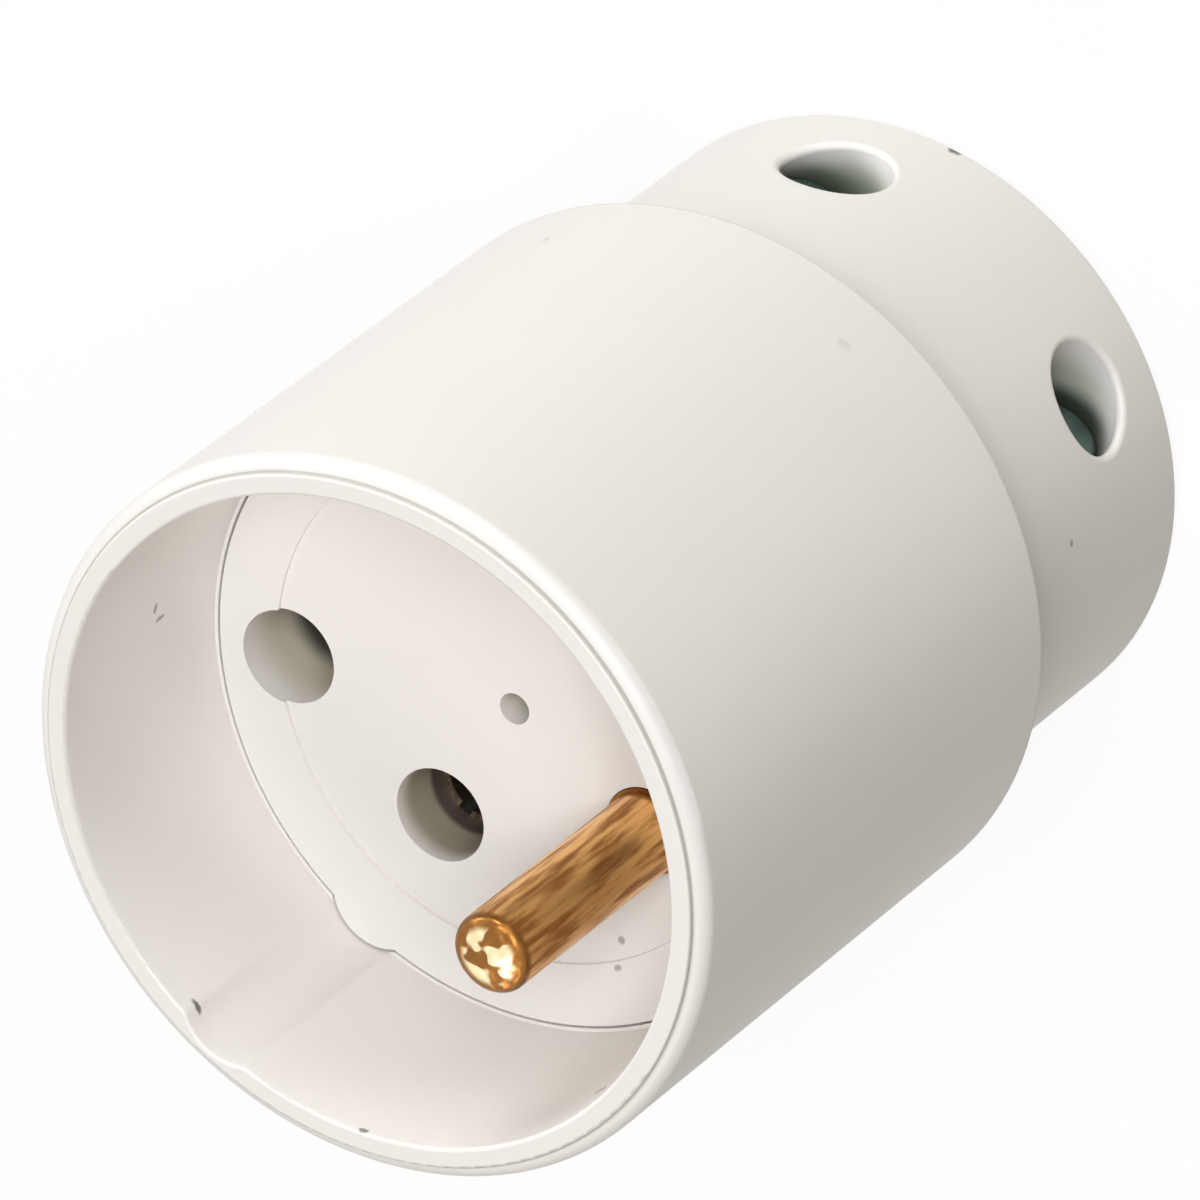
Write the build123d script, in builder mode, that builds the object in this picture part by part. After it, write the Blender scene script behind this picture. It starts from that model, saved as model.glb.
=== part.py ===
"""Earthed cable socket for a flexible lead, standing on its rear face with the recess upwards.

A moulded front shell and rear cap are drawn together by two long screws through the contact carrier,
which is the floor of the recess. The carrier holds two brass contact sleeves and the earth pin.
"""

import os
from math import cos, radians, sin

from build123d import *

# Outside of the body
shell_radius = 21.6
shell_length = 36.0
neck_step = 2.8
neck_length = 19.5
neck_edge_round = 0.3
shell_edge_chamfer = 0.3

# Recess and its stepped rim
recess_depth = 15.0
rim_width = 2.1
rim_face_width = 1.25
rim_step = 0.3
rim_edge_round = 0.2

# Shell wall, the ledge under the carrier and the seat of the rear cap
shell_wall = 2.4
ring_width = 0.2
ledge_width = 2.1
ledge_thickness = 2.4
seat_width = 0.95
seat_depth = 2.6

# Clearances: moulded parts into each other, screws and brass in their holes
mould_clearance = 0.15
hole_clearance = 0.1
thread_clearance = 0.05

# Contact carrier
disc_thickness = 2.0
dish_margin = 3.75
dish_depth = 0.3
cover_room = 1.9
key_radius = 3.0
key_land = 0.5
key_groove_round = 0.8

# Hole pattern of the recess floor
line_spacing = 19.0
earth_offset = 10.0
line_hole_radius = 2.85
line_hole_length = 4.8

# Earth pin
pin_radius = 2.4
pin_proud = 1.3
pin_dome = 0.5
pin_edge_round = 0.6
pin_shank_step = 0.2
pin_shank_lift = 0.1

# Contact sleeves, their collars and terminal barrels
sleeve_wall = 0.75
sleeve_slot_width = 0.8
sleeve_slot_root = 2.3
sleeve_web = 3.0
collar_radius = 3.75
collar_height = 2.0
barrel_radius = 3.3
barrel_length = 7.7
wire_hole_radius = 1.4
wire_hole_depth = 6.5
spring_wall = 0.4
spring_height = 2.6
spring_drop = 0.9
spring_gap = 1.2

# Contact cover and its screw
cover_thickness = 2.0
cover_screw_radius = 1.1
cover_screw_length = 10.0
cover_head_radius = 2.2
cover_head_height = 1.8
centre_hole_radius = 0.95

# Long screws that hold the body together
lug_radius = 3.85
lug_inset = 0.55
lug_angle = -55.4
assembly_hole_radius = 2.9
lug_floor = 3.5
assembly_screw_radius = 1.5
assembly_engagement = 10.0
assembly_head_radius = 2.7
assembly_head_height = 2.4
pillar_radius = 3.2
pillar_gap = 0.6

# Terminal screws
terminal_screw_radius = 1.5
terminal_screw_height = 4.0
terminal_head_radius = 2.3
terminal_head_height = 1.7
terminal_head_lift = 0.3

# Rear cap and cord clamp
neck_wall = 2.4
end_wall = 2.0
outlet_radius = 5.0
outlet_edge_round = 0.6
clamp_height = 6.1
clamp_inset = 7.0
clamp_hole_radius = 2.8
clamp_mouth_round = 0.35
clamp_head_depth = 5.7
clamp_boss_radius = 4.3
clamp_screw_radius = 1.5
clamp_head_radius = 2.55
clamp_head_height = 2.0
clamp_bite = 1.5
clamp_pad_width = 7.0
clamp_bar_thickness = 4.5
clamp_bar_height = 5.6
clamp_bar_overhang = 3.6
clamp_bar_round = 1.2
clamp_saddle_radius = 6.0
clamp_saddle_depth = 1.0
nut_width = 5.0
nut_thickness = 2.4
nut_pocket_depth = 1.6
screw_tail = 1.4

# Slots in the screw heads
slot_share = 0.3
slot_depth = 0.8
head_round = 0.4

# Heights, from the rear face up
rim_z = neck_length + shell_length
floor_z = rim_z - recess_depth
face_z = floor_z - dish_depth
ledge_z = floor_z - disc_thickness
ledge_back_z = ledge_z - ledge_thickness
seat_z = neck_length + seat_depth
cover_back_z = seat_z + cover_room
block_back_z = cover_back_z + cover_thickness
contact_front_z = face_z - line_hole_length
pin_tip_z = rim_z + pin_proud
collar_top_z = block_back_z + collar_height
barrel_end_z = cover_back_z - barrel_length
sleeve_floor_z = barrel_end_z + wire_hole_depth + sleeve_web
sleeve_slot_z = collar_top_z + sleeve_slot_root
spring_foot_z = (collar_top_z + contact_front_z) / 2 - spring_drop
assembly_seat_z = block_back_z + lug_floor
pillar_foot_z = clamp_height + clamp_bar_height / 2 + pillar_gap

# Radii that follow from the walls
recess_radius = shell_radius - rim_width
rim_face_radius = recess_radius + rim_face_width
shoulder_round = shell_radius - rim_face_radius
pocket_radius = recess_radius - ring_width
disc_radius = pocket_radius - mould_clearance
ledge_radius = pocket_radius - ledge_width
block_radius = ledge_radius - mould_clearance
dish_radius = disc_radius - dish_margin
key_centre = rim_face_radius - key_land - mould_clearance - key_radius
bore_radius = shell_radius - shell_wall
seat_radius = bore_radius + seat_width
flange_radius = seat_radius - mould_clearance
neck_radius = shell_radius - neck_step
neck_inner_radius = neck_radius - neck_wall
chamber_radius = collar_radius + mould_clearance
sleeve_radius = pin_radius + thread_clearance + sleeve_wall
pin_shank_radius = pin_radius + pin_shank_step

# Places in plan
line_places = {"right": (line_spacing / 2, 0), "left": (-line_spacing / 2, 0)}
earth_place = (0, earth_offset)
lug_circle = disc_radius - lug_radius - lug_inset
lug_places = {}
for lug_name, lug_turn in (("lower", 0), ("upper", 180)):
    lug_bearing = radians(lug_angle + lug_turn)
    lug_places[lug_name] = (lug_circle * cos(lug_bearing), lug_circle * sin(lug_bearing))
clamp_offset = neck_inner_radius - clamp_inset
clamp_sides = {"upper": clamp_offset, "lower": -clamp_offset}
clamp_bar_x = outlet_radius - clamp_bite
clamp_mouth_x = -((neck_radius**2 - clamp_offset**2) ** 0.5)
clamp_seat_x = clamp_mouth_x + clamp_head_depth
nut_seat_x = clamp_bar_x + clamp_bar_thickness - nut_pocket_depth


def section_plane(x, y):
    """Upright plane through a place in plan: its own x is the radius there, its own y the height."""
    return Plane(origin=(x, y, 0), x_dir=(1, 0, 0), z_dir=(0, -1, 0))


def finish(piece, name):
    """Name a finished solid and write it out."""
    piece.part.label = name
    export_step(piece.part, f"parts/{name}.step")


def slotted_screw(seat, shank_radius, shank_length, head_radius, head_height):
    """Cheese-head screw: its head stands on the seat plane and its shank goes the other way."""
    with BuildPart() as screw:
        with BuildSketch(seat):
            Circle(head_radius)
        extrude(amount=head_height)
        fillet(screw.faces().sort_by(Axis(seat.origin, seat.z_dir))[-1].edges(), head_round)
        with BuildSketch(seat):
            Circle(shank_radius)
        extrude(amount=-shank_length)
        with BuildSketch(seat.offset(head_height - slot_depth)):
            Rectangle(2 * head_radius, slot_share * head_radius)
        extrude(amount=slot_depth, mode=Mode.SUBTRACT)
    return screw


def lobed_outline(radius, lobe_radius):
    """Round outline with a lobe round each long screw, drawn in the sketch that is open."""
    Circle(radius)
    with Locations(*lug_places.values()):
        Circle(lobe_radius)


os.makedirs("parts", exist_ok=True)

# Front shell: a moulded tube with the recess in front, a key groove down to the ledge, and a seat behind
with BuildPart() as front_shell:
    with BuildSketch(Plane.XZ) as shell_profile:
        with BuildLine():
            back = Polyline(
                (ledge_radius, ledge_back_z),
                (bore_radius, ledge_back_z),
                (bore_radius, seat_z),
                (seat_radius, seat_z),
                (seat_radius, neck_length),
                (shell_radius - shell_edge_chamfer, neck_length),
                (shell_radius, neck_length + shell_edge_chamfer),
                (shell_radius, rim_z - rim_step - shoulder_round),
            )
            shoulder = CenterArc(
                (rim_face_radius, rim_z - rim_step - shoulder_round), shoulder_round, 0, 90
            )
            Polyline(
                shoulder @ 1,
                (rim_face_radius, rim_z),
                (ledge_radius, rim_z),
                back @ 0,
            )
        make_face()
        fillet(shell_profile.vertices().group_by(Axis.Y)[-1].sort_by(Axis.X)[-1], rim_edge_round)
    revolve(axis=Axis.Z)
    with BuildSketch(Plane.XY.offset(floor_z)) as recess_outline:
        Circle(recess_radius)
        with Locations((key_centre, 0)):
            Circle(key_radius + mould_clearance)
        corners = recess_outline.vertices().sort_by(Axis.Y)
        fillet((corners[0], corners[-1]), key_groove_round)
    extrude(amount=recess_depth, mode=Mode.SUBTRACT)
    fillet(front_shell.faces().sort_by(Axis.Z)[-1].inner_wires()[0].edges(), rim_edge_round)
    with BuildSketch(Plane.XY.offset(ledge_z)):
        Circle(pocket_radius)
        with Locations((key_centre, 0)):
            Circle(key_radius + mould_clearance)
    extrude(amount=disc_thickness, mode=Mode.SUBTRACT)
    with BuildSketch(Plane.XY.offset(ledge_back_z)):
        with Locations(*lug_places.values()):
            Circle(lug_radius + mould_clearance)
    extrude(amount=ledge_thickness, mode=Mode.SUBTRACT)
finish(front_shell, "front_shell")

# Contact carrier: the recess floor, with a block behind it for the contacts and the long screws
with BuildPart() as contact_carrier:
    with BuildSketch(Plane.XY.offset(ledge_z)):
        Circle(disc_radius)
        with Locations((key_centre, 0)):
            Circle(key_radius)
    extrude(amount=disc_thickness)
    with BuildSketch(Plane.XY.offset(face_z)):
        Circle(dish_radius)
    extrude(amount=dish_depth, mode=Mode.SUBTRACT)
    with BuildSketch(Plane.XY.offset(block_back_z)):
        lobed_outline(block_radius, lug_radius)
    extrude(amount=ledge_z - block_back_z)
    with BuildSketch(Plane.XY.offset(block_back_z)):
        with Locations(*line_places.values()):
            Circle(chamber_radius)
    extrude(amount=contact_front_z - block_back_z, mode=Mode.SUBTRACT)
    with BuildSketch(Plane.XY.offset(contact_front_z)):
        with Locations(*line_places.values()):
            Circle(line_hole_radius)
    extrude(amount=line_hole_length, mode=Mode.SUBTRACT)
    with Locations(Location((*earth_place, block_back_z), (180, 0, 0))):
        CounterBoreHole(pin_shank_radius + thread_clearance, chamber_radius, collar_height)
    with Locations(*[(x, y, floor_z) for x, y in lug_places.values()]):
        CounterBoreHole(
            assembly_screw_radius + hole_clearance, assembly_hole_radius, floor_z - assembly_seat_z
        )
    with Locations((0, 0, face_z)):
        Hole(centre_hole_radius)
    with BuildSketch(Plane.XY.offset(block_back_z)):
        Circle(cover_screw_radius + thread_clearance)
    extrude(amount=cover_screw_length - cover_thickness + hole_clearance, mode=Mode.SUBTRACT)
finish(contact_carrier, "contact_carrier")

# Earth pin: turned from brass rod, with a collar behind the carrier and a barrel for the wire
with BuildPart() as earth_pin:
    with BuildSketch(section_plane(*earth_place)) as pin_profile:
        with BuildLine():
            dome = TangentArc((0, pin_tip_z), (pin_radius, pin_tip_z - pin_dome), tangent=(1, 0))
            Polyline(
                dome @ 0,
                (0, barrel_end_z),
                (barrel_radius, barrel_end_z),
                (barrel_radius, block_back_z),
                (collar_radius, block_back_z),
                (collar_radius, collar_top_z),
                (pin_shank_radius, collar_top_z),
                (pin_shank_radius, face_z + pin_shank_lift),
                (pin_radius, face_z + pin_shank_lift),
                dome @ 1,
            )
        make_face()
        fillet(pin_profile.vertices().sort_by(Axis.Y)[-2], pin_edge_round)
    revolve(axis=Axis((*earth_place, 0), (0, 0, 1)))
    with BuildSketch(Plane.XY.offset(barrel_end_z)):
        with Locations(earth_place):
            Circle(wire_hole_radius)
    extrude(amount=wire_hole_depth, mode=Mode.SUBTRACT)
    with BuildSketch(Plane.YZ):
        with Locations((earth_offset, barrel_end_z + terminal_screw_height)):
            Circle(terminal_screw_radius + thread_clearance)
    extrude(amount=barrel_radius, mode=Mode.SUBTRACT)
finish(earth_pin, "earth_pin")

# Line contacts: turned brass sleeves, slotted so that they grip, each with a barrel for its wire
for side, place in line_places.items():
    with BuildPart() as line_contact:
        with BuildSketch(section_plane(*place)):
            with BuildLine():
                Polyline(
                    (0, barrel_end_z),
                    (barrel_radius, barrel_end_z),
                    (barrel_radius, block_back_z),
                    (collar_radius, block_back_z),
                    (collar_radius, collar_top_z),
                    (sleeve_radius, collar_top_z),
                    (sleeve_radius, contact_front_z),
                    (sleeve_radius - sleeve_wall, contact_front_z),
                    (sleeve_radius - sleeve_wall, sleeve_floor_z),
                    (0, sleeve_floor_z),
                    close=True,
                )
            make_face()
        revolve(axis=Axis((*place, 0), (0, 0, 1)))
        with BuildSketch(Plane.XY.offset(contact_front_z)):
            with Locations(place):
                Rectangle(2 * sleeve_radius, sleeve_slot_width)
                Rectangle(sleeve_slot_width, 2 * sleeve_radius)
        extrude(amount=sleeve_slot_z - contact_front_z, mode=Mode.SUBTRACT)
        with BuildSketch(Plane.XY.offset(barrel_end_z)):
            with Locations(place):
                Circle(wire_hole_radius)
        extrude(amount=wire_hole_depth, mode=Mode.SUBTRACT)
        with BuildSketch(Plane.XZ):
            with Locations((place[0], barrel_end_z + terminal_screw_height)):
                Circle(terminal_screw_radius + thread_clearance)
        extrude(amount=barrel_radius, mode=Mode.SUBTRACT)
    finish(line_contact, f"line_contact_{side}")

# Contact springs: split steel rings round the tongues of the sleeves
for side, place in line_places.items():
    with BuildPart() as contact_spring:
        with BuildSketch(Plane.XY.offset(spring_foot_z)):
            with Locations(place):
                Circle(sleeve_radius + thread_clearance + spring_wall)
                Circle(sleeve_radius + thread_clearance, mode=Mode.SUBTRACT)
            with Locations((place[0], sleeve_radius)):
                Rectangle(spring_gap, sleeve_radius, mode=Mode.SUBTRACT)
        extrude(amount=spring_height)
    finish(contact_spring, f"contact_spring_{side}")

# Terminal screws: each goes through the side of its barrel as far as the wire hole
terminal_z = barrel_end_z + terminal_screw_height
terminal_head_reach = barrel_radius + terminal_head_lift
terminal_screw_length = terminal_head_reach - wire_hole_radius
for side, place in line_places.items():
    terminal_seat = Plane(
        origin=(place[0], -terminal_head_reach, terminal_z), x_dir=(1, 0, 0), z_dir=(0, -1, 0)
    )
    line_terminal_screw = slotted_screw(
        terminal_seat,
        terminal_screw_radius,
        terminal_screw_length,
        terminal_head_radius,
        terminal_head_height,
    )
    finish(line_terminal_screw, f"line_terminal_screw_{side}")
earth_terminal_screw = slotted_screw(
    Plane(origin=(terminal_head_reach, earth_offset, terminal_z), x_dir=(0, 1, 0), z_dir=(1, 0, 0)),
    terminal_screw_radius,
    terminal_screw_length,
    terminal_head_radius,
    terminal_head_height,
)
finish(earth_terminal_screw, "earth_terminal_screw")

# Contact cover: a moulded plate behind the carrier that traps the three brass collars
with BuildPart() as contact_cover:
    with BuildSketch(Plane.XY.offset(cover_back_z)):
        lobed_outline(block_radius, lug_radius)
        with Locations(*line_places.values(), earth_place):
            Circle(barrel_radius + hole_clearance, mode=Mode.SUBTRACT)
        with Locations(*lug_places.values()):
            Circle(assembly_screw_radius + hole_clearance, mode=Mode.SUBTRACT)
        Circle(cover_screw_radius + hole_clearance, mode=Mode.SUBTRACT)
    extrude(amount=cover_thickness)
finish(contact_cover, "contact_cover")

# Cover screw: driven from behind into the pilot hole in the middle of the carrier
cover_screw = slotted_screw(
    Plane(origin=(0, 0, cover_back_z), x_dir=(1, 0, 0), z_dir=(0, 0, -1)),
    cover_screw_radius,
    cover_screw_length,
    cover_head_radius,
    cover_head_height,
)
finish(cover_screw, "cover_screw")

# Assembly screws: through the recess floor and the cover into the pillars of the rear cap
for name, place in lug_places.items():
    assembly_screw = slotted_screw(
        Plane.XY.offset(assembly_seat_z).move(Location((*place, 0))),
        assembly_screw_radius,
        assembly_seat_z - cover_back_z + assembly_engagement,
        assembly_head_radius,
        assembly_head_height,
    )
    finish(assembly_screw, f"assembly_screw_{name}")

# Rear cap: a moulded cup with a flange in the shell, screw pillars, and bosses for the cord clamp
with BuildPart() as rear_cap:
    with BuildSketch(Plane.XY.offset(cover_back_z)):
        with Locations(*lug_places.values()):
            Circle(pillar_radius)
    extrude(amount=pillar_foot_z - cover_back_z)
    with BuildSketch(Plane.YZ.offset(clamp_bar_x)):
        with Locations(*[(y, clamp_height) for y in clamp_sides.values()]):
            Circle(clamp_boss_radius)
    extrude(amount=-neck_radius - clamp_bar_x)
    with BuildSketch(Plane.YZ.offset(-outlet_radius)):
        with Locations((0, clamp_height)):
            Rectangle(clamp_pad_width, 2 * clamp_height)
    extrude(amount=outlet_radius - neck_radius)
    Cylinder(neck_radius - neck_wall / 2, 2 * cover_back_z, mode=Mode.INTERSECT)
    with BuildSketch(Plane.XZ):
        with BuildLine():
            Polyline(
                (0, 0),
                (neck_radius, 0),
                (neck_radius, neck_length),
                (flange_radius, neck_length),
                (flange_radius, seat_z),
                (neck_inner_radius, seat_z),
                (neck_inner_radius, end_wall),
                (0, end_wall),
                close=True,
            )
        make_face()
    revolve(axis=Axis.Z)
    rear_edges = rear_cap.faces().sort_by(Axis.Z)[0].outer_wire().edges()
    fillet(rear_edges, neck_edge_round)
    with Locations((0, 0, end_wall)):
        Hole(outlet_radius, depth=end_wall)
    outlet_edge = rear_cap.faces().sort_by(Axis.Z)[0].inner_wires()[0].edges()
    fillet(outlet_edge, outlet_edge_round)
    with BuildSketch(Plane.XY.offset(cover_back_z)):
        with Locations(*lug_places.values()):
            Circle(assembly_screw_radius + thread_clearance)
    extrude(amount=-assembly_engagement - hole_clearance, mode=Mode.SUBTRACT)
    with BuildSketch(Plane.YZ.offset(clamp_seat_x)):
        with Locations(*[(y, clamp_height) for y in clamp_sides.values()]):
            Circle(clamp_hole_radius)
    extrude(amount=-neck_radius, mode=Mode.SUBTRACT)
    mouth_edges = rear_cap.edges(Select.LAST).filter_by(GeomType.CIRCLE, reverse=True)
    fillet(mouth_edges.filter_by(GeomType.LINE, reverse=True), clamp_mouth_round)
    with BuildSketch(Plane.YZ.offset(clamp_seat_x)):
        with Locations(*[(y, clamp_height) for y in clamp_sides.values()]):
            Circle(clamp_screw_radius + hole_clearance)
    extrude(amount=clamp_bar_x - clamp_seat_x, mode=Mode.SUBTRACT)
finish(rear_cap, "rear_cap")

# Clamp bar: moulded bar across the cord, with a saddle for it and a pocket for each nut
with BuildPart() as clamp_bar:
    with BuildSketch(Plane.YZ.offset(clamp_bar_x)):
        with Locations((0, clamp_height)):
            Rectangle(2 * (clamp_offset + clamp_bar_overhang), clamp_bar_height)
    extrude(amount=clamp_bar_thickness)
    outer_corners = clamp_bar.edges().filter_by(Axis.Z).group_by(Axis.X)[-1]
    fillet(outer_corners, clamp_bar_round)
    with BuildSketch(Plane.XY.offset(clamp_height)):
        with Locations((clamp_bar_x + clamp_saddle_depth - clamp_saddle_radius, 0)):
            Circle(clamp_saddle_radius)
    extrude(amount=clamp_bar_height, both=True, mode=Mode.SUBTRACT)
    with BuildSketch(Plane.YZ.offset(clamp_bar_x)):
        with Locations(*[(y, clamp_height) for y in clamp_sides.values()]):
            Circle(clamp_screw_radius + hole_clearance)
    extrude(amount=clamp_bar_thickness, mode=Mode.SUBTRACT)
    with BuildSketch(Plane.YZ.offset(nut_seat_x)):
        with Locations(*[(y, clamp_height) for y in clamp_sides.values()]):
            Rectangle(nut_width + hole_clearance, clamp_bar_height)
    extrude(amount=nut_pocket_depth, mode=Mode.SUBTRACT)
finish(clamp_bar, "clamp_bar")

# Clamp screws and their square nuts
for name, side_y in clamp_sides.items():
    clamp_screw = slotted_screw(
        Plane(origin=(clamp_seat_x, side_y, clamp_height), x_dir=(0, 1, 0), z_dir=(-1, 0, 0)),
        clamp_screw_radius,
        nut_seat_x + nut_thickness + screw_tail - clamp_seat_x,
        clamp_head_radius,
        clamp_head_height,
    )
    finish(clamp_screw, f"clamp_screw_{name}")
    with BuildPart() as clamp_nut:
        with BuildSketch(Plane.YZ.offset(nut_seat_x)):
            with Locations((side_y, clamp_height)):
                Rectangle(nut_width, nut_width)
                Circle(clamp_screw_radius + thread_clearance, mode=Mode.SUBTRACT)
        extrude(amount=nut_thickness)
    finish(clamp_nut, f"clamp_nut_{name}")
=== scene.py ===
"""Looks of an earthed cable socket: a white moulded body with a deep recess and a brass earth pin.

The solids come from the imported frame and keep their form. Each gets its finish here, and then the
camera, the white floor and the light are set.
"""

import bmesh
import bpy
from mathutils import Matrix, Vector

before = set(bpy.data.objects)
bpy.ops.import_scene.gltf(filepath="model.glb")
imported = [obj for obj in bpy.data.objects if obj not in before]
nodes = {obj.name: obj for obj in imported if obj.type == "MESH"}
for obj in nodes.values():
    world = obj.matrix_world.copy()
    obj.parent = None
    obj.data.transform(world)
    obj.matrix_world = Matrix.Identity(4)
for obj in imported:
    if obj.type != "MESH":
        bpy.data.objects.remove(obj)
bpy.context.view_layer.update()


# Body: the front shell and the rear cap, moulded in the same warm white plastic with a fine satin grain and
# held together by two long screws. A few specks of dirt have stayed on them. The step of the rim and the
# shell's rear edge carry thin lines of painted shade, a dash of painted shade sits at the top of the key
# groove, and the walls of the cap's two screw holes are painted darker as painted shade.
class Paint:
    """A value on a surface. Sums and products on it add Math nodes to its material."""

    def __init__(self, tree, socket=None):
        self.tree = tree
        self.socket = socket

    def node(self, kind, settings, inputs, output=0):
        """Any other node: its settings first, then the values or links of its sockets."""
        made = self.tree.nodes.new(kind)
        for name, value in settings.items():
            setattr(made, name, value)
        for key, value in inputs.items():
            if isinstance(value, Paint):
                self.tree.links.new(value.socket, made.inputs[key])
            else:
                made.inputs[key].default_value = value
        return Paint(self.tree, made.outputs[output])

    def maths(self, operation, first, second):
        return self.node("ShaderNodeMath", {"operation": operation}, {0: first, 1: second})

    def __add__(self, other):
        return self.maths("ADD", self, other)

    def __mul__(self, other):
        return self.maths("MULTIPLY", self, other)

    __radd__ = __add__
    __rmul__ = __mul__


def corners(name):
    """Lowest and highest corner of a solid's box."""
    places = [vertex.co for vertex in nodes[name].data.vertices]
    low = Vector([min(place[axis] for place in places) for axis in range(3)])
    high = Vector([max(place[axis] for place in places) for axis in range(3)])
    return low, high


def new_material(name, roughness, metallic=0.0):
    """An empty material with one shader, and the place on the surface as its first value."""
    material = bpy.data.materials.new(name)
    material.use_nodes = True
    tree = material.node_tree
    shader = tree.nodes["Principled BSDF"]
    shader.inputs["Roughness"].default_value = roughness
    shader.inputs["Metallic"].default_value = metallic
    place = Paint(tree).node("ShaderNodeTexCoord", {}, {}, "Object")
    return material, shader, place


def noise(place, size, detail=2.0, stretch=(1.0, 1.0, 1.0)):
    """Cloudy value from 0 to 1, with clouds of about that size in metres."""
    scaled = place.node("ShaderNodeMapping", {}, {"Vector": place, "Scale": stretch})
    return place.node(
        "ShaderNodeTexNoise", {}, {"Vector": scaled, "Scale": 1.0 / size, "Detail": detail}
    )


def ramp(value, low, high):
    """Goes softly from 0 to 1 as the value goes from low to high, which may be the smaller of the two."""
    return value.node(
        "ShaderNodeMapRange",
        {"interpolation_type": "SMOOTHSTEP"},
        {"Value": value, "From Min": low, "From Max": high},
    )


def blend(factor, first, second):
    """First colour where the factor is 0, second where it is 1."""
    return factor.node(
        "ShaderNodeMix", {"data_type": "RGBA"}, {0: factor, 6: first, 7: second}, 2
    )


def feed(shader, socket, paint):
    """Let a value that changes over the surface drive one of the shader's sockets."""
    paint.tree.links.new(paint.socket, shader.inputs[socket])


def bump(shader, height, depth, strength):
    """Raise the surface by a height value times a depth in metres."""
    raised = height.node(
        "ShaderNodeBump", {}, {"Strength": strength, "Distance": depth, "Height": height}
    )
    feed(shader, "Normal", raised)


def fleck(place, ragged, centre, reach):
    """1 inside a ragged speck at that centre, with its reach along each axis, and 0 outside it."""
    near = place.node(
        "ShaderNodeMapping",
        {"vector_type": "TEXTURE"},
        {"Vector": place, "Location": centre, "Scale": reach},
    )
    far = place.node("ShaderNodeVectorMath", {"operation": "LENGTH"}, {0: near}, "Value")
    return ramp(far + ragged, 1.7, 1.1)


upright = (1, 1, 0)
lying_along_x = (0, 1, 1)


def from_line(place, point, line=upright):
    """Distance from a line through that point. The line is given by the axes across it."""
    offset = place.node(
        "ShaderNodeMapping", {"vector_type": "TEXTURE"}, {"Vector": place, "Location": point}
    )
    across = place.node("ShaderNodeVectorMath", {"operation": "MULTIPLY"}, {0: offset, 1: line})
    return place.node("ShaderNodeVectorMath", {"operation": "LENGTH"}, {0: across}, "Value")


def along(place, axis):
    """How far along X, Y or Z the place is."""
    return place.node("ShaderNodeSeparateXYZ", {}, {0: place}, axis)


def white_plastic(name, pale, shaded, roughness):
    """Warm white moulded plastic: its tone has faint clouds, under a fine satin grain."""
    cloud_size = 0.012
    grain_size = 0.0003
    grain_depth = 0.00002
    material, shader, place = new_material(name, roughness)
    tone = blend(noise(place, cloud_size, 3.0), pale, shaded)
    grain = noise(place, grain_size)
    feed(shader, "Roughness", roughness - 0.06 + 0.12 * grain)
    bump(shader, grain, grain_depth, 0.25)
    return material, shader, place, tone


shell_low, shell_high = corners("front_shell")
shell_radius = shell_high.x
shell_foot = shell_low.z
rim_height = shell_high.z
painted_edge_shade = (0.55, 0.53, 0.49, 1)
shell_white, shell_shader, shell_place, shell_tone = white_plastic(
    "shell_white", (0.83, 0.81, 0.785, 1), (0.80, 0.777, 0.747, 1), 0.42
)
from_axis = from_line(shell_place, (0.0, 0.0, 0.0))
shell_height = along(shell_place, "Z")

# Painted shade: a thin grey line in the step of the rim, and another round the shell's rear edge.
step_radius = 0.020765
line_reach = 0.000105
line_core = 0.000025
rim_step_shade = (
    ramp(from_axis, step_radius - line_reach, step_radius - line_core)
    * ramp(from_axis, step_radius + line_reach, step_radius + line_core)
    * ramp(shell_height, rim_height - 0.0007, rim_height - 0.0004)
)
rear_edge_shade = (
    ramp(from_axis, shell_radius - 0.0005, shell_radius - 0.0002)
    * ramp(shell_height, shell_foot + 0.0005, shell_foot + 0.0002)
)
shell_tone = blend(rim_step_shade + rear_edge_shade, shell_tone, painted_edge_shade)

neck_radius = 0.0188
clamp_hole_reach = 0.0032
clamp_head = corners("clamp_screw_upper")[0].x
# Painted shade in the cap's two clamp screw holes: grey walls, near black by the screw heads, and darker
# deeper in on the -Y side.
hole_wall_shade = (0.47, 0.49, 0.43, 1)
far_hole_shade = (0.14, 0.16, 0.12, 1)
head_shadow = (0.05, 0.06, 0.045, 1)
hole_depth = along(shell_place, "X")
in_clamp_holes = 0.0
for name in ("clamp_screw_upper", "clamp_screw_lower"):
    from_screw = from_line(shell_place, sum(corners(name), Vector()) / 2, lying_along_x)
    in_clamp_holes = ramp(from_screw, clamp_hole_reach + 0.0004, clamp_hole_reach) + in_clamp_holes
before_seat = ramp(hole_depth, clamp_head + 0.0031, clamp_head + 0.0021)
below_skin = ramp(from_axis, neck_radius - 0.0002, neck_radius - 0.0028)
on_wall = below_skin * in_clamp_holes * before_seat
by_head = on_wall * ramp(hole_depth, clamp_head - 0.0016, clamp_head - 0.0001)
far_hole_wall = on_wall * ramp(along(shell_place, "Y"), 0.0, -0.003)
far_hole_deep = far_hole_wall * ramp(hole_depth, clamp_head - 0.0046, clamp_head - 0.0024)
shell_tone = blend(on_wall, shell_tone, hole_wall_shade)
shell_tone = blend(by_head, shell_tone, head_shadow)
shell_tone = blend(0.7 * far_hole_deep, shell_tone, far_hole_shade)

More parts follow.
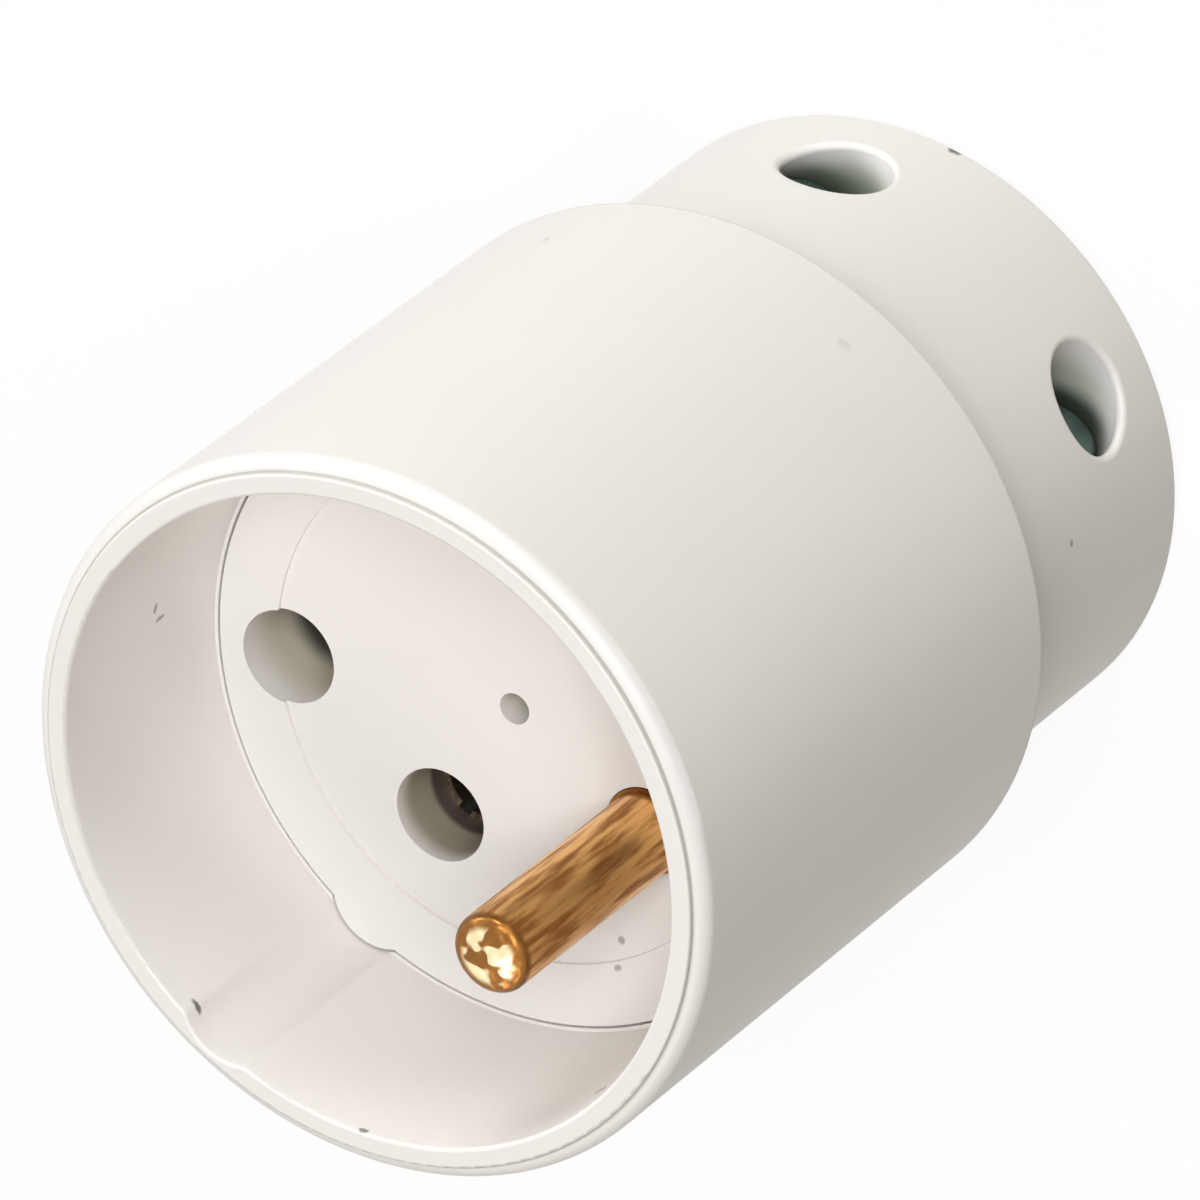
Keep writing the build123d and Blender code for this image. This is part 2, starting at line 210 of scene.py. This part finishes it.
dirt_and_shade = (0.10, 0.085, 0.07, 1)
speck_edge = 0.0004
ragged = noise(shell_place, speck_edge)
specks_and_shade = 0.0
for centre, reach, weight in (
    # On the wall of the recess
    ((0.0064, -0.0184, 0.0470), (0.0004, 0.0003, 0.00016), 0.7),
    ((0.0074, -0.0180, 0.0463), (0.00016, 0.0003, 0.0005), 0.6),
    # Not dirt: a dash of painted shade at the top corner of the key groove, by the rim.
    ((0.0194, -0.0020, 0.0543), (0.0004, 0.0006, 0.00022), 0.9),
    ((0.0067, 0.0183, 0.0509), (0.00045, 0.0004, 0.0003), 0.8),
    # On the rim
    ((0.0169, 0.0097, 0.0552), (0.0003, 0.0003, 0.0002), 0.8),
    # On the cap
    ((-0.0118, 0.0147, 0.0115), (0.0003, 0.0002, 0.0002), 0.7),
    ((-0.0179, -0.0059, 0.0002), (0.0003, 0.0005, 0.0004), 0.9),
    # On the outside of the shell
    ((-0.0134, -0.0169, 0.0248), (0.0003, 0.0002, 0.0003), 0.15),
    ((-0.0216, 0.0001, 0.0239), (0.0002, 0.0005, 0.0004), 0.12),
):
    specks_and_shade = weight * fleck(shell_place, ragged, centre, reach) + specks_and_shade
feed(shell_shader, "Base Color", blend(specks_and_shade, shell_tone, dirt_and_shade))
for name in ("front_shell", "rear_cap"):
    nodes[name].data.materials[0] = shell_white

# Contact carrier: the floor of the recess, moulded in a slightly cooler white with a duller skin and held by
# two long screws. Two specks lie on it by the earth pin. The walls of its holes are painted darker with
# depth as painted shade, darkest in the line holes just in front of the contacts.
cool_white = (0.83, 0.81, 0.795, 1)
cool_shade = (0.80, 0.78, 0.76, 1)
carrier_roughness = 0.5
carrier_white, carrier_shader, carrier_place, carrier_tone = white_plastic(
    "carrier_white", cool_white, cool_shade, carrier_roughness
)


def in_hole_of(piece, reach):
    """1 as far as that reach from the upright middle line of a piece in its hole, and 0 further out."""
    middle = sum(corners(piece), Vector()) / 2
    return ramp(from_line(carrier_place, middle), reach + 0.0003, reach)


face_height = corners("contact_carrier")[1].z
contact_front = corners("line_contact_right")[1].z
line_hole_reach = 0.0031
chamber_reach = 0.0042
screw_hole_reach = 0.0031
centre_hole_reach = 0.0012
hole_mouth_shade = (0.64, 0.60, 0.49, 1)
hole_deep_shade = (0.09, 0.085, 0.07, 1)
line_hole_shade = (0.38, 0.35, 0.27, 1)
contact_shade = (0.10, 0.08, 0.065, 1)
carrier_height = along(carrier_place, "Z")
in_holes = in_hole_of("cover_screw", centre_hole_reach)
for piece, reach in (
    ("line_contact_right", chamber_reach),
    ("line_contact_left", chamber_reach),
    ("assembly_screw_lower", screw_hole_reach),
    ("assembly_screw_upper", screw_hole_reach),
):
    in_holes = in_hole_of(piece, reach) + in_holes
# Painted shade: the hole walls grow darker with depth.
on_hole_walls = in_holes * ramp(carrier_height, face_height - 0.0003, face_height - 0.0035)
carrier_tone = blend(on_hole_walls, carrier_tone, hole_mouth_shade)
deep_down = in_holes * ramp(carrier_height, face_height - 0.0045, face_height - 0.0063)
carrier_tone = blend(deep_down, carrier_tone, hole_deep_shade)
for piece in ("line_contact_right", "line_contact_left"):
    in_line_hole = in_hole_of(piece, line_hole_reach)
    darker_wall = in_line_hole * ramp(carrier_height, face_height - 0.0003, face_height - 0.0020)
    carrier_tone = blend(darker_wall, carrier_tone, line_hole_shade)
    # Painted shade, darkest just in front of each contact.
    by_contact = in_line_hole * ramp(carrier_height, contact_front + 0.0016, contact_front + 0.0010)
    carrier_tone = blend(by_contact, carrier_tone, contact_shade)

pale_dirt = (0.20, 0.17, 0.14, 1)
carrier_ragged = noise(carrier_place, speck_edge)
carrier_specks = 0.0
for centre in ((0.0072, 0.0124, 0.0403), (0.0086, 0.0132, 0.0403)):
    speck = fleck(carrier_place, carrier_ragged, centre, (0.0003, 0.00025, 0.0005))
    carrier_specks = 0.6 * speck + carrier_specks
feed(carrier_shader, "Base Color", blend(carrier_specks, carrier_tone, pale_dirt))
nodes["contact_carrier"].data.materials[0] = carrier_white

# Contact cover and clamp bar: moulded in the same white as the carrier, and clean inside the body. The cover
# is a plate screwed on behind the carrier, and the bar presses the cord when its two screws are tightened.
inner_white, inner_shader, _, inner_tone = white_plastic(
    "inner_white", cool_white, cool_shade, carrier_roughness
)
feed(inner_shader, "Base Color", inner_tone)
for name in ("contact_cover", "clamp_bar"):
    nodes[name].data.materials[0] = inner_white


# Earth pin: turned from drawn brass rod and kept in the carrier by the cover. It has gone brown, with dark
# streaks left along the rod. Its domed end is worn bright in patches and slightly dented where plugs have
# struck it, and the pale patches also stand as painted highlights. Round that end and at its foot it is
# painted dark brown as painted shade.
def drawn_brass(name, bright, dark, roughness):
    """Brass with streaks along its length."""
    streak_size = 0.0005
    drawn_out = (1.0, 1.0, 0.1)
    material, shader, place = new_material(name, roughness, 1.0)
    streaks = ramp(noise(place, streak_size, 4.0, drawn_out), 0.40, 0.64)
    tone = blend(streaks, bright, dark)
    feed(shader, "Base Color", tone)
    feed(shader, "Roughness", roughness - 0.08 + 0.16 * streaks)
    return material, shader, place, tone


pin_low, pin_high = corners("earth_pin")
pin_middle = (pin_low + pin_high) / 2
pin_end = pin_high.z
worn_highlight_radius = 0.0014
dent_size = 0.0013
dent_depth = 0.0005
worn_highlight_brass = (0.95, 0.78, 0.48, 1)
brass_shade = (0.28, 0.12, 0.03, 1)
pin_brass, pin_shader, pin_place, pin_tone = drawn_brass(
    "pin_brass", (0.96, 0.55, 0.20, 1), (0.42, 0.17, 0.045, 1), 0.36
)
pin_height = along(pin_place, "Z")
dents = noise(pin_place, dent_size, 1.0)
at_end = ramp(pin_height, pin_end - 0.0008, pin_end - 0.0003)
round_end = ramp(pin_height, pin_end - 0.0011, pin_end - 0.0006)
at_foot = ramp(pin_height, face_height + 0.0006, face_height + 0.0001)
# Painted shade: the rounded end and the foot are painted dark brown.
pin_tone = blend(round_end + at_foot, pin_tone, brass_shade)
from_pin_axis = from_line(pin_place, pin_middle)
# Worn bright patches on the domed end. Their pale colour also serves as painted highlights.
worn_and_highlight = at_end * ramp(from_pin_axis, worn_highlight_radius + 0.0005, worn_highlight_radius) * ramp(dents, 0.43, 0.49)
feed(pin_shader, "Base Color", blend(worn_and_highlight, pin_tone, worn_highlight_brass))
bump(pin_shader, dents * at_end, dent_depth, 0.5)
nodes["earth_pin"].data.materials[0] = pin_brass

# Contact sleeves: turned from brass like the pin, one behind each line hole, and kept in by the cover.
# Down in the holes they have gone dull and dark.
contact_brass = drawn_brass("contact_brass", (0.42, 0.32, 0.22, 1), (0.16, 0.12, 0.085, 1), 0.45)[0]
for name in ("line_contact_right", "line_contact_left"):
    nodes[name].data.materials[0] = contact_brass

# Screws, nuts and spring rings: steel with a dull greenish plating that has gone cloudy. The screws hold
# the wires, the cover, the body and the cord clamp, and the rings close the sleeves on a plug's pins.
cloudy_size = 0.0015
pale_plating = (0.18, 0.25, 0.22, 1)
dark_plating = (0.07, 0.11, 0.10, 1)
screw_steel, screw_shader, screw_place = new_material("screw_steel", 0.4, 1.0)
plating = noise(screw_place, cloudy_size, 4.0)
feed(screw_shader, "Base Color", blend(plating, pale_plating, dark_plating))
feed(screw_shader, "Roughness", 0.3 + 0.2 * plating)
for name in nodes:
    if "screw" in name or "nut" in name or "spring" in name:
        nodes[name].data.materials[0] = screw_steel

# Camera: a long lens that looks down into the recess from above, with the picture rolled so that the
# socket seems to lie on its side.
camera_place = Vector((-0.5405, 0.1253, 0.6504))
image_right = Vector((-0.43686, 0.72777, -0.52870))
image_up = Vector((-0.62353, -0.66865, -0.40520))
view = bpy.context.scene
camera_data = bpy.data.cameras.new("camera")
camera_data.sensor_width = 36.0
camera_data.lens = 450.0
camera_data.clip_end = 20.0
camera = bpy.data.objects.new("camera", camera_data)
turn = Matrix((image_right, image_up, image_right.cross(image_up))).transposed()
camera.matrix_world = Matrix.Translation(camera_place) @ turn.to_4x4()
view.collection.objects.link(camera)
view.camera = camera


# Floor: a plain sheet just under the socket's rear face. The camera, metal and glass see it white apart
# from the socket's shadow. To all other light it is a dull brown, so that it throws little light back.
def looked_at(paint):
    """1 where the camera sees the surface, straight or in metal or glass, and 0 for all other light."""
    seen = 0.0
    for ray in ("Is Camera Ray", "Is Glossy Ray", "Is Transmission Ray"):
        seen = paint.node("ShaderNodeLightPath", {}, {}, ray) + seen
    return ramp(seen, 0.0, 1.0)


floor_reach = 4.0
floor_drop = 0.0002
floor_brown = (0.26, 0.23, 0.18, 1)
floor_pale = (0.95, 0.95, 0.95, 1)
floor_mesh = bmesh.new()
bmesh.ops.create_grid(
    floor_mesh,
    x_segments=1,
    y_segments=1,
    size=floor_reach,
    matrix=Matrix.Translation((0.0, 0.0, -floor_drop)),
)
floor_data = bpy.data.meshes.new("floor")
floor_mesh.to_mesh(floor_data)
floor_mesh.free()
floor = bpy.data.objects.new("floor", floor_data)
view.collection.objects.link(floor)
floor_white, floor_shader, floor_place = new_material("floor_white", 0.9)
seen = looked_at(floor_place)
feed(floor_shader, "Base Color", blend(seen, floor_brown, floor_pale))
floor_tree = floor_white.node_tree
floor_skin = Paint(floor_tree, floor_shader.outputs[0])
floor_glow = floor_place.node("ShaderNodeEmission", {}, {"Strength": 1.0})
floor_mix = floor_place.node("ShaderNodeMixShader", {}, {0: 0.9 * seen, 1: floor_skin, 2: floor_glow})
feed(floor_tree.nodes["Material Output"], "Surface", floor_mix)
floor_data.materials.append(floor_white)

# Light: a white room that gives little light itself, and soft square lamps all round. The strongest stand
# by the camera and low on two sides, so that the recess is bright and the far side falls into shade.
lamp_size = 0.5
lamp_target = Vector((0.0, 0.0, 0.03))
white = (1.0, 1.0, 1.0)
warm_white = (1.0, 0.94, 0.85)
world = bpy.data.worlds.new("room")
world.use_nodes = True
room = Paint(world.node_tree)
dim_room = room.node("ShaderNodeBackground", {}, {"Color": (*white, 1.0), "Strength": 0.03})
white_room = room.node("ShaderNodeBackground", {}, {"Color": (*white, 1.0), "Strength": 1.0})
room_mix = room.node("ShaderNodeMixShader", {}, {0: looked_at(room), 1: dim_room, 2: white_room})
feed(world.node_tree.nodes["World Output"], "Surface", room_mix)
view.world = world
for name, place, power, colour in (
    ("front", (-0.78, 0.18, 0.92), 7.5, white),
    ("top", (-0.40, 0.09, 1.16), 3.4, white),
    ("low", (-0.97, -0.68, 0.24), 6.3, white),
    ("side", (0.00, -1.18, 0.24), 5.4, white),
    ("high", (0.31, -0.86, 0.80), 1.6, white),
    ("back", (0.70, 0.49, 0.88), 4.6, warm_white),
):
    lamp_data = bpy.data.lights.new(name, "AREA")
    lamp_data.size = lamp_size
    lamp_data.energy = power
    lamp_data.color = colour
    lamp = bpy.data.objects.new(name, lamp_data)
    lamp.location = place
    aim = Vector(place) - lamp_target
    lamp.rotation_euler = aim.to_track_quat("Z", "Y").to_euler()
    view.collection.objects.link(lamp)

view.view_settings.view_transform = "Standard"
